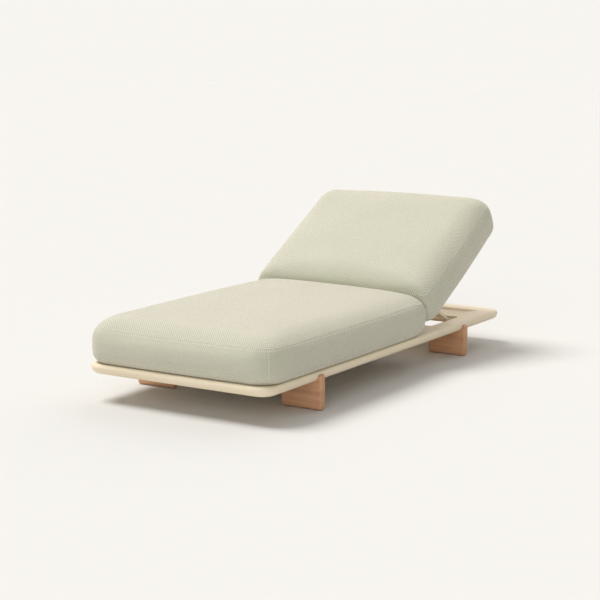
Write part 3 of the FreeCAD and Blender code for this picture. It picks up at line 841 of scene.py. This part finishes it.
@dataclass(frozen=True)
class Seam:
    """A sewn seam: a groove with a slight swell of cloth on both sides."""

    groove: float = 0.8 * MM
    groove_width: float = 2.6 * MM
    groove_bell: float = 0.62
    lip: float = 0.65 * MM
    lip_place: float = 7 * MM
    lip_bell: float = 0.6
    last_cut: float = 1.6
    cut_threshold: float = 0.05 * MM
    pucker: float = 0.25 * MM
    pucker_width: float = 12 * MM
    pucker_turns: Three = (230.0, 90.0, 210.0)

    def profile(self, distance: np.ndarray) -> np.ndarray:
        """Height of the cloth beside the seam at a distance from it."""
        swell = self.lip * bell(np.abs(distance) - self.lip_place, self.lip_bell * self.lip_place)
        return swell - self.groove * bell(distance, self.groove_bell * self.groove_width)

    def puckers(self, places: np.ndarray, above: np.ndarray) -> np.ndarray:
        """Small waves of the cloth along the seam.

        Args:
            places: the vertices, one per row.
            above: how far each of them is above the seam.

        Returns:
            Height of the waves at each vertex.
        """
        x, y = places[:, 0], places[:, 1]
        across, wander, along = self.pucker_turns
        wave = np.sin(x * across + np.sin(y * wander)) * np.sin(y * along)
        return self.pucker * wave * bell(above, self.pucker_width)

    def cut(self, point: Vector, normal: Vector) -> None:
        """Cut edge loops that carry the groove into the mesh in edit mode.

        Args:
            point: a point on the seam's plane.
            normal: the plane's normal.
        """
        width, lip = self.groove_width, self.lip_place
        beside = (0.5 * width, width, lip, self.last_cut * lip)
        for step in (*(-step for step in reversed(beside)), 0.0, *beside):
            bpy.ops.mesh.select_all(action="SELECT")
            bpy.ops.mesh.bisect(plane_co=point + normal * step, plane_no=normal,
                                threshold=self.cut_threshold)


@dataclass
class Cushion:
    """One boxed cushion: a woven cover with sewn seams over a foam block.

    A height counts from the underside and a reach from the end that meets the other cushion. A turn
    tells from the surface's direction how far it faces one way.
    """

    label: str
    cover_node: str
    core_node: str
    body: str
    raised: bool
    free_end: End
    corner_radius: float
    voxel: float = 12 * MM
    merge_distance: float = 0.01 * MM
    seam_share: float = 0.66
    top_round: float = 84 * MM
    weave_bend: int = 4
    fullness: float = 6 * MM
    end_crown: float = 0.0
    crown_lift: float = 0.7
    crown_start: float = 0.45
    meeting_share: float = 0.0
    meeting_rise: float = 3.0 * MM
    corner_fill: float = 38 * MM
    shoulder_drop: float = 9 * MM
    shoulder_width: float = 0.18
    settled_side: float = 10 * MM
    held_height: float = 2 * MM
    flat_height: float = 0.1 * MM
    rest_height: Fade = Fade(0.0, 30 * MM)
    corner_height: Fade = Fade(0.04, 0.11)
    corner_reach: Fade = Fade(0.06, 0.12)
    corner_turn: Fade = Fade(0.0, 0.3)
    top_height: float = 0.07
    top_reach: Fade = Fade(0.10, 0.55)
    top_turn: Fade = Fade(0.0, 0.6)
    slim_reach: Fade = Fade(0.0, 0.55)
    shift_reach: Fade = Fade(0.015, 0.10)
    side_turn: Fade = Fade(0.75, 0.95)
    corner_cuts: float = 2.2
    seam_below: Fade = Fade(0.0, 4 * MM)
    seam_outward: Fade = Fade(0.0, 0.01)
    corner_stitch_top: float = 8 * MM
    corner_stitch_bottom: float = 30 * MM
    foam_inset: float = 4 * MM
    filling: Filling = Filling()
    stitch: Stitch = Stitch()
    seam: Seam = Seam()
    cover: Object = field(init=False, repr=False)
    seam_level: float = field(init=False, repr=False)

    UV_NAME = "cloth"
    UNDERSIDE = -0.7

    def outer_shell(self, node: Object, name: str) -> Object:
        """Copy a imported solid, merged and without its inner void.

        Args:
            node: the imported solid.
            name: name of the copy.

        Returns:
            The outer shell.
        """
        obj = bpy.data.objects.new(name, node.data.copy())
        bpy.context.scene.collection.objects.link(obj)
        obj.data.materials.clear()
        edit_all(obj)
        bpy.ops.mesh.remove_doubles(threshold=self.merge_distance)
        bpy.ops.mesh.separate(type="LOOSE")
        bpy.ops.object.mode_set(mode="OBJECT")
        shells = list(bpy.context.selected_objects)
        outer = max(shells, key=lambda shell: np.ptp(rows_of(shell.data.vertices, "co")[:, 2]))
        for shell in shells:
            if shell != outer:
                bpy.data.objects.remove(shell)
        outer.name = name
        outer.data.name = name
        return outer

    def places(self) -> np.ndarray:
        """Places of the cover's vertices, one per row."""
        return rows_of(self.cover.data.vertices, "co")

    def normals(self) -> np.ndarray:
        """Directions of the cover's surface at its vertices, one per row."""
        return rows_of(self.cover.data.vertices, "normal")

    def reach(self, places: np.ndarray) -> np.ndarray:
        """Distance of each vertex from the end that meets the other cushion."""
        along = places[:, 1]
        return np.abs(along - (along.max() if self.free_end == End.FOOT else along.min()))

    def corner_moves(self, places: np.ndarray) -> np.ndarray:
        """Find the moves that square the upright corners at the other cushion.

        Args:
            places: the vertices, one per row.

        Returns:
            Moves along X and Y, one per row.
        """
        outward = self.normals()[:, :2]
        level = np.linalg.norm(outward, axis=1)
        way = outward / np.maximum(level, TINY)[:, None]
        corner = 1 / np.maximum(np.abs(way).max(axis=1), TINY) - 1
        amount = self.corner_fill * corner * level * (1 - self.corner_reach.at(self.reach(places)))
        amount *= self.corner_height.at(places[:, 2], zero=places[:, 2].min())
        amount *= self.corner_turn.at(-self.free_end * way[:, 1])
        return way * amount[:, None]

    def top_drop(self, places: np.ndarray) -> np.ndarray:
        """Find how far the top slopes down near the other cushion.

        Args:
            places: the vertices, one per row.

        Returns:
            Drop of each vertex, more at both shoulders and on the settled right side.
        """
        half = places[:, 0].max()
        heights = places[:, 2]
        inside = np.abs(places[:, 0]) - half + self.shoulder_width
        outer = np.clip(inside / self.shoulder_width, 0.0, 1.0)
        settled = self.settled_side * 0.5 * (1 + places[:, 0] / half)
        drop = (self.shoulder_drop * outer ** 2 + settled) * (1 - self.top_reach.at(self.reach(places)))
        return drop * Fade(heights.min() + self.top_height, heights.max()).at(heights)

    def shape(self) -> None:
        """Square the upright corners at the other cushion, and slope the top to its sides there."""
        places = self.places()
        moved = places.copy()
        moved[:, 2] -= self.top_drop(places)
        moved[:, :2] += self.corner_moves(places)
        move_points(self.cover.data, moved)

    def inflate(self) -> None:
        """Press the cover outwards as cloth, no further than the limits, and flat where it rests."""
        places = self.places()
        low = places[:, 2].min()
        pressed = self.filling.press(self.cover, places[:, 2] < low + self.held_height)
        free = self.rest_height.at(places[:, 2], zero=low)
        moves = self.filling.limited(pressed - places, free)
        move_points(self.cover.data, places + self.filled(places, moves, free))

    def filled(self, places: np.ndarray, moves: np.ndarray, free: np.ndarray) -> np.ndarray:
        """Add the foam's fullness and crown to the cloth's moves.

        Args:
            places: vertices before the simulation, one per row.
            moves: the simulation's limited moves.
            free: how far each vertex is clear of where the cushion rests, as a share.

        Returns:
            Moves with no part below the rest, and little of them towards the other cushion.
        """
        low = places[:, 2].min()
        reach = self.reach(places)
        normals = self.normals()
        up = self.top_turn.at(normals[:, 2])
        made = moves + self.fullness * normals
        bow = 1 - (places[:, 0] / places[:, 0].max()) ** 2
        crown = self.end_crown * bow * Fade(self.crown_start, reach.max()).at(reach)
        made[:, 1] += self.free_end * crown * free
        made[:, 2] += self.crown_lift * crown * up
        made[:, 2] += self.meeting_rise * (1 - 2 * reach / reach.max()) * up
        made[:, 0] *= self.meeting_share + (1 - self.meeting_share) * self.slim_reach.at(reach)
        made[:, 1] *= self.shift_reach.at(reach)
        made[:, 2] = np.maximum(made[:, 2], low - places[:, 2])
        made[places[:, 2] < low + self.flat_height, :2] = 0.0
        return made

    def corner_planes(self) -> list[Spot]:
        """Find the planes of the two upright corner seams at the free end.

        Returns:
            Point, direction out of the corner and normal of each plane.
        """
        places = self.places()
        low, high = places.min(axis=0), places.max(axis=0)
        end = low[1] if self.free_end == End.FOOT else high[1]
        planes = []
        for side in (-1, 1):
            x = (high[0] if side > 0 else low[0]) - side * self.corner_radius
            y = end - self.free_end * self.corner_radius
            out = Vector((side, self.free_end, 0)).normalized()
            planes.append((Vector((x, y, 0)), out, Vector((-out.y, out.x, 0))))
        return planes

    def cut_loops(self) -> None:
        """Add edge loops along the seams, so that their grooves are real geometry."""
        cover = self.cover
        edit_all(cover)
        self.seam.cut(Vector((0, 0, self.seam_level)), Vector((0, 0, 1)))
        bpy.ops.object.mode_set(mode="OBJECT")
        for point, out, normal in self.corner_planes():
            middles = rows_of(cover.data.polygons, "center")
            offset = middles - np.array(point)
            near = np.abs(offset @ np.array(normal)) < self.corner_cuts * self.seam.lip_place + self.voxel
            edit_faces(cover, near & (middles[:, 2] < self.seam_level) & (offset @ np.array(out) > 0))
            bpy.ops.mesh.hide(unselected=True)
            self.seam.cut(point, normal)
            bpy.ops.mesh.reveal(select=False)
            bpy.ops.object.mode_set(mode="OBJECT")

    def sew(self) -> None:
        """Pull the seams in as grooves with a slight swell beside them."""
        self.cover.data.update()
        places = self.places()
        normals = self.normals()
        above = places[:, 2] - self.seam_level
        side = 1 - self.side_turn.at(np.abs(normals[:, 2]))
        depth = self.seam.profile(above) * side
        below = self.seam_below.at(-above)
        for point, out, normal in self.corner_planes():
            offset = places - np.array(point)
            outward = self.seam_outward.at(offset @ np.array(out))
            depth += self.seam.profile(offset @ np.array(normal)) * outward * below * side
        depth += self.seam.puckers(places, above) * side
        move_points(self.cover.data, places + normals * depth[:, None])

    def panel_map(self, local: np.ndarray, half: np.ndarray) -> np.ndarray:
        """Lay the weave straight over the top and bottom panels, and down over their edges.

        Args:
            local: place of each vertex, from the cover's middle.
            half: half the cover's size.

        Returns:
            Place on the cloth of each vertex.
        """
        flat = half - self.top_round
        over = np.clip((np.abs(local) - flat) / self.top_round, 0.0, 1.0)
        drop = np.maximum(0.0, flat[2] - local[:, 2])
        panel = np.empty((len(local), 2))
        for axis in (0, 1):
            arc = flat[axis] + self.top_round * np.arcsin(over[:, axis])
            inner = np.abs(local[:, axis]) < flat[axis]
            reach = np.where(inner, np.abs(local[:, axis]), arc + drop * over[:, axis] ** self.weave_bend)
            panel[:, axis] = np.sign(local[:, axis]) * reach
        return panel

    def boxing_map(self, spots: np.ndarray, middles: np.ndarray, half: np.ndarray) -> np.ndarray:
        """Lay the weave round the boxing band.

        Args:
            spots: place of each face corner, from the cover's middle.
            middles: the same of the middle of the face that it belongs to.
            half: half the cover's size.

        Returns:
            Place on the cloth of each face corner.
        """
        straight = half[:2] - self.corner_radius
        past = np.abs(middles[:, :2]) - straight
        across = past[:, 0] > past[:, 1]
        beyond = np.maximum(np.abs(spots[:, :2]) - straight, 0.0)
        turn = np.arctan2(beyond[:, 1], beyond[:, 0] + TINY)
        turn = np.where(across, turn, math.pi / 2 - turn)
        run = np.where(across, spots[:, 1], -spots[:, 0])
        first = np.where(across, straight[1], straight[0])
        arc = np.where(np.abs(run) > first, first + self.corner_radius * turn, np.abs(run))
        side = np.where(across, np.sign(middles[:, 0]), np.sign(middles[:, 1]))
        return np.column_stack((np.sign(run) * arc * side, spots[:, 2]))

    def unwrap(self) -> None:
        """Lay the weave over the panels and the boxing band."""
        mesh = self.cover.data
        places = self.places()
        low, high = places.min(axis=0), places.max(axis=0)
        centre = (low + high) / 2
        half = (high - low) / 2
        counts = np.empty(len(mesh.polygons), dtype=int)
        mesh.polygons.foreach_get("loop_total", counts)
        corners = np.empty(len(mesh.loops), dtype=int)
        mesh.loops.foreach_get("vertex_index", corners)
        face_of = np.repeat(np.arange(len(mesh.polygons)), counts)
        middles = rows_of(mesh.polygons, "center")
        upward = rows_of(mesh.polygons, "normal")[:, 2]
        boxed = ((middles[:, 2] < self.seam_level) & (upward > self.UNDERSIDE))[face_of]
        local = places - centre
        band = self.boxing_map(local[corners], (middles - centre)[face_of], half)
        uv = np.where(boxed[:, None], band, self.panel_map(local, half)[corners])
        layer = mesh.uv_layers.new(name=self.UV_NAME)
        layer.data.foreach_set("uv", uv.ravel())

    def stitching(self) -> Object:
        """Lay top-stitching above the boxing seam and beside the corner seams.

        Returns:
            All the cushion's stitches as one object.
        """
        places = self.places()
        low, high = places.min(axis=0), places.max(axis=0)
        spots = self.track(low, high)
        count = int((self.seam_level - low[2] - self.corner_stitch_bottom) / self.stitch.pitch)
        for point, out, normal in self.corner_planes():
            beside = point + normal * self.stitch.offset + out * self.corner_radius
            for step in range(count):
                beside.z = self.seam_level - self.corner_stitch_top - step * self.stitch.pitch
                spots.append((beside.copy(), out, Vector((0, 0, 1))))
        return self.stitch.lay(spots, self.cover, self.label + "_stitching")

    def track(self, low: np.ndarray, high: np.ndarray) -> list[Spot]:
        """Follow the boxing seam once round the cushion.

        Args:
            low: the cover's lowest corner.
            high: its highest corner.

        Returns:
            Place, outward direction and run of each stitch.
        """
        radius = self.corner_radius
        pitch = self.stitch.pitch
        height = self.seam_level + self.stitch.offset
        turns = int(radius * math.pi / 2 / pitch)
        x0, y0 = low[:2] + radius
        x1, y1 = high[:2] - radius
        found = []
        for quarter, bend in enumerate(((x1, y1), (x0, y1), (x0, y0), (x1, y0))):
            length = x1 - x0 if quarter % 2 else y1 - y0
            straight = [(quarter, step * pitch - length) for step in range(int(length / pitch))]
            curve = [(quarter + (step + 0.5) / turns, 0.0) for step in range(turns)]
            for quarters, shift in straight + curve:
                angle = quarters * math.pi / 2
                out = Vector((math.cos(angle), math.sin(angle), 0))
                way = Vector((-out.y, out.x, 0))
                found.append((Vector((*bend, height)) + out * radius + way * shift, out, way))
        return found

    def foam(self, node: Object) -> Object:
        """Model the foam block inside the cover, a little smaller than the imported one.

        Args:
            node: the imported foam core.

        Returns:
            The foam block.
        """
        block = self.outer_shell(node, self.label + "_foam_block")
        apply_modifier(block, "REMESH", mode="VOXEL", voxel_size=2 * self.voxel)
        apply_modifier(block, "SMOOTH", factor=0.5, iterations=3)
        apply_modifier(block, "DISPLACE", strength=-self.foam_inset, mid_level=0.0)
        return block

    def sewn_cover(self, node: Object, hinge: HingeLine) -> Object:
        """Make the lying cover, with its seams and the weave laid on.

        Args:
            node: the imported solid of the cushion.
            hinge: the backrest's hinge line.

        Returns:
            The cover.
        """
        self.cover = self.outer_shell(node, self.label + "_cover")
        if self.raised:
            hinge.lay(self.cover, -1)
        apply_modifier(self.cover, "REMESH", mode="VOXEL", voxel_size=self.voxel)
        apply_modifier(self.cover, "SMOOTH", factor=0.5, iterations=4)
        self.shape()
        self.inflate()
        apply_modifier(self.cover, "SUBSURF", levels=1, render_levels=1)
        heights = self.places()[:, 2]
        self.seam_level = heights.min() + self.seam_share * (heights.max() - heights.min())
        self.cut_loops()
        self.sew()
        self.unwrap()
        select_only(self.cover)
        bpy.ops.object.shade_smooth()
        return self.cover

    def build(self, nodes: dict[str, Object], hinge: HingeLine, cloth: Material, thread: Material,
              foam: Material) -> None:
        """Make the cushion's pieces, dress them and set them on their body.

        Args:
            nodes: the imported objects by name.
            hinge: the backrest's hinge line.
            cloth: the cover's material.
            thread: the stitches' material.
            foam: the foam block's material.
        """
        cover = self.sewn_cover(nodes[self.cover_node], hinge)
        stitches = self.stitching()
        block = self.foam(nodes[self.core_node])
        if self.raised:
            hinge.lay(cover, 1)
            hinge.lay(stitches, 1)
        for piece, material, slot in ((cover, cloth, "woven_cover_fabric"),
                                      (stitches, thread, "woven_cover_fabric"),
                                      (block, foam, "cushion_foam")):
            piece.data.materials.clear()
            piece.data.materials.append(material)
            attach(piece, self.body)
            log.info("%s: %d faces", piece.name, len(piece.data.polygons))
        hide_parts(self.cover_node)
        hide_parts(self.core_node)


@dataclass(frozen=True)
class Lamp:
    """Even light from one direction, as wide as a large softbox."""

    name: str
    way: Three
    width: float
    power: float
    colour: Colour

    def hang(self) -> None:
        """Add the lamp as a sun."""
        data = bpy.data.lights.new(self.name, "SUN")
        data.angle = math.radians(self.width)
        data.energy = self.power
        data.color = self.colour
        sun = bpy.data.objects.new(self.name, data)
        sun.rotation_euler = (-Vector(self.way)).to_track_quat("-Z", "Y").to_euler()
        bpy.context.scene.collection.objects.link(sun)


@dataclass(frozen=True)
class Studio:
    """Pale floor, soft lamps and the camera at the photograph's angle."""

    camera_place: Three = (3.7331, -5.9786, 1.5313)
    target: Three = (-0.39238, 0.52213, 0.200)
    lens: float = 95.91
    sensor: float = 36.0
    sight: float = 200.0
    floor_size: float = 60.0
    floor_colour: Colour = (0.69, 0.685, 0.675)
    floor_roughness: float = 0.95
    backdrop: float = 0.94
    backdrop_colour: Colour = (1.0, 0.974, 0.93)
    fill: float = 0.34
    lamps: tuple[Lamp, ...] = (
        Lamp("key_light", (-0.42, -0.12, 0.90), 30.0, 2.62, (1.0, 0.985, 0.96)),
        Lamp("rim_light", (-0.50, 0.80, 0.35), 50.0, 0.35, (1.0, 0.98, 0.96)),
        Lamp("rear_fill", (0.0, 0.80, 0.60), 60.0, 0.86, (1.0, 0.97, 0.92)),
        Lamp("low_fill", (0.31, -0.92, 0.20), 55.0, 0.95, (1.0, 0.99, 0.97)),
    )

    def build(self) -> None:
        """Set up camera, floor, lamps and world."""
        self.camera()
        self.floor()
        for lamp in self.lamps:
            lamp.hang()
        self.world()

    def camera(self) -> None:
        """Camera that looks from the photograph's place."""
        data = bpy.data.cameras.new("photo_camera")
        data.lens = self.lens
        data.sensor_width = self.sensor
        data.sensor_fit = "HORIZONTAL"
        data.clip_end = self.sight
        camera = bpy.data.objects.new("photo_camera", data)
        camera.location = self.camera_place
        look = Vector(self.target) - Vector(self.camera_place)
        camera.rotation_euler = look.to_track_quat("-Z", "Y").to_euler()
        bpy.context.scene.collection.objects.link(camera)
        bpy.context.scene.camera = camera

    def floor(self) -> None:
        """Plain pale floor under the feet."""
        bpy.ops.mesh.primitive_plane_add(size=self.floor_size, location=(0, 0, 0))
        floor = bpy.context.object
        floor.name = "studio_floor"
        material = bpy.data.materials.new("pale_floor")
        material.use_nodes = True
        shader = material.node_tree.nodes["Principled BSDF"]
        shader.inputs["Base Color"].default_value = shaded(self.floor_colour)
        shader.inputs["Roughness"].default_value = self.floor_roughness
        shader.inputs["Specular IOR Level"].default_value = 0.0
        floor.data.materials.append(material)

    def world(self) -> None:
        """Even fill light, and a pale backdrop for camera, gloss and glass."""
        world = bpy.data.worlds.new("soft_room")
        world.use_nodes = True
        bpy.context.scene.world = world
        sheet = NodeSheet(world.node_tree)
        path = sheet.add("ShaderNodeLightPath").outputs
        seen = sheet.math("MAXIMUM", path["Is Camera Ray"], path["Is Glossy Ray"])
        seen = sheet.math("MAXIMUM", seen, path["Is Transmission Ray"])
        strength = sheet.math("MULTIPLY_ADD", seen, self.backdrop - self.fill, self.fill)
        shade = sheet.add("ShaderNodeBackground", {"Color": shaded(self.backdrop_colour),
                                                   "Strength": strength})
        sheet.add("ShaderNodeOutputWorld", {0: shade.outputs[0]})


@dataclass
class Hardware:
    """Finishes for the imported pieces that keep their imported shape."""

    groups: GroupShelf
    tilt: float

    def finishes(self) -> dict[str, Finish]:
        """Choose the finish of each of the record's material slots.

        Returns:
            Finish by slot name.
        """
        return {
            "cream_lacquered_board": Lacquer(),
            "oiled_foot_wood": Timber(),
            "grip_rubber": Moulded(name="grip_rubber", pebble=420.0, depth=0.2 * MM),
            "cream_painted_steel": Lacquer(name="cream_powder_coat", colour=(0.86, 0.75, 0.565),
                                           deeper=(0.82, 0.70, 0.51), roughness=0.55),
            "brushed_hinge_steel": Metal(),
            "zinc_plated_screw": Metal(name="zinc_plate", colour=(0.55, 0.56, 0.58), roughness=0.4,
                                       brush=60.0),
            "beam_wood": Timber(name="beam_wood", light=(0.46, 0.31, 0.18), dark=(0.32, 0.20, 0.11),
                                ring=14 * MM, roughness=0.65),
            "panel_plywood": Plywood(tilt=self.tilt),
            "roller_nylon": Moulded(name="roller_nylon", colour=(0.68, 0.66, 0.60), roughness=0.45,
                                    pebble=300.0, depth=0.02 * MM),
            "glide_plastic": Moulded(name="glide_felt", colour=(0.05, 0.042, 0.036), roughness=0.9),
            "buffer_rubber": Moulded(),
            "insert_brass": Metal(name="brass", colour=(0.66, 0.48, 0.20), roughness=0.3, brush=90.0),
        }

    def dress(self, frame: dict) -> None:
        """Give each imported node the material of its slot.

        Args:
            frame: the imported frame.
        """
        made = {slot: finish.material(self.groups) for slot, finish in self.finishes().items()}
        for entry in frame["record"]["subparts"]:
            slot = entry["material_slot"]
            if slot not in made:
                continue
            node = frame["nodes"][entry["node"]]
            node.data.materials.clear()
            node.data.materials.append(made[slot])
            log.info("%s wears %s", node.name, made[slot].name)


def hinge_line(frame: dict) -> HingeLine:
    """Read the hinge line from the frame's backrest joint."""
    joint = next(j for j in frame["joints"] if j["name"] == "backrest_recline")
    return HingeLine(place=Vector(joint["pos_m"]), tilt=math.radians(-min(joint["range_deg"])))


def corners(box: tuple) -> list[list[float]]:
    """A box's two corners as plain lists of numbers."""
    return [[float(v) for v in corner] for corner in box]


def main() -> None:
    """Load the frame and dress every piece."""
    logging.basicConfig(level=logging.INFO, format="%(name)s: %(message)s")
    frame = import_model()
    bpy.ops.object.select_all(action="DESELECT")
    bpy.context.scene.view_settings.view_transform = "Standard"
    Studio().build()
    groups = GroupShelf()
    hinge = hinge_line(frame)
    Hardware(groups, hinge.tilt).dress(frame)
    cloth = Upholstery().material(groups)
    thread = SewingThread().material(groups)
    foam = Moulded(name="open_cell_foam", colour=(0.80, 0.76, 0.60), roughness=0.95, pebble=350.0,
                   depth=0.8 * MM).material(groups)
    seat = Cushion("seat", "seat_cushion_cover", "seat_foam_core", "base", raised=False,
                   free_end=End.FOOT, corner_radius=98 * MM)
    back = Cushion("back", "back_cushion_cover", "back_foam_core", "backrest", raised=True,
                   free_end=End.HEAD, corner_radius=60 * MM, fullness=9 * MM, end_crown=9 * MM,
                   meeting_share=0.9, meeting_rise=0.0, shoulder_drop=0.0, settled_side=0.0)
    for cushion in (seat, back):
        cushion.build(frame["nodes"], hinge, cloth, thread, foam)


if __name__ == "__main__":
    main()
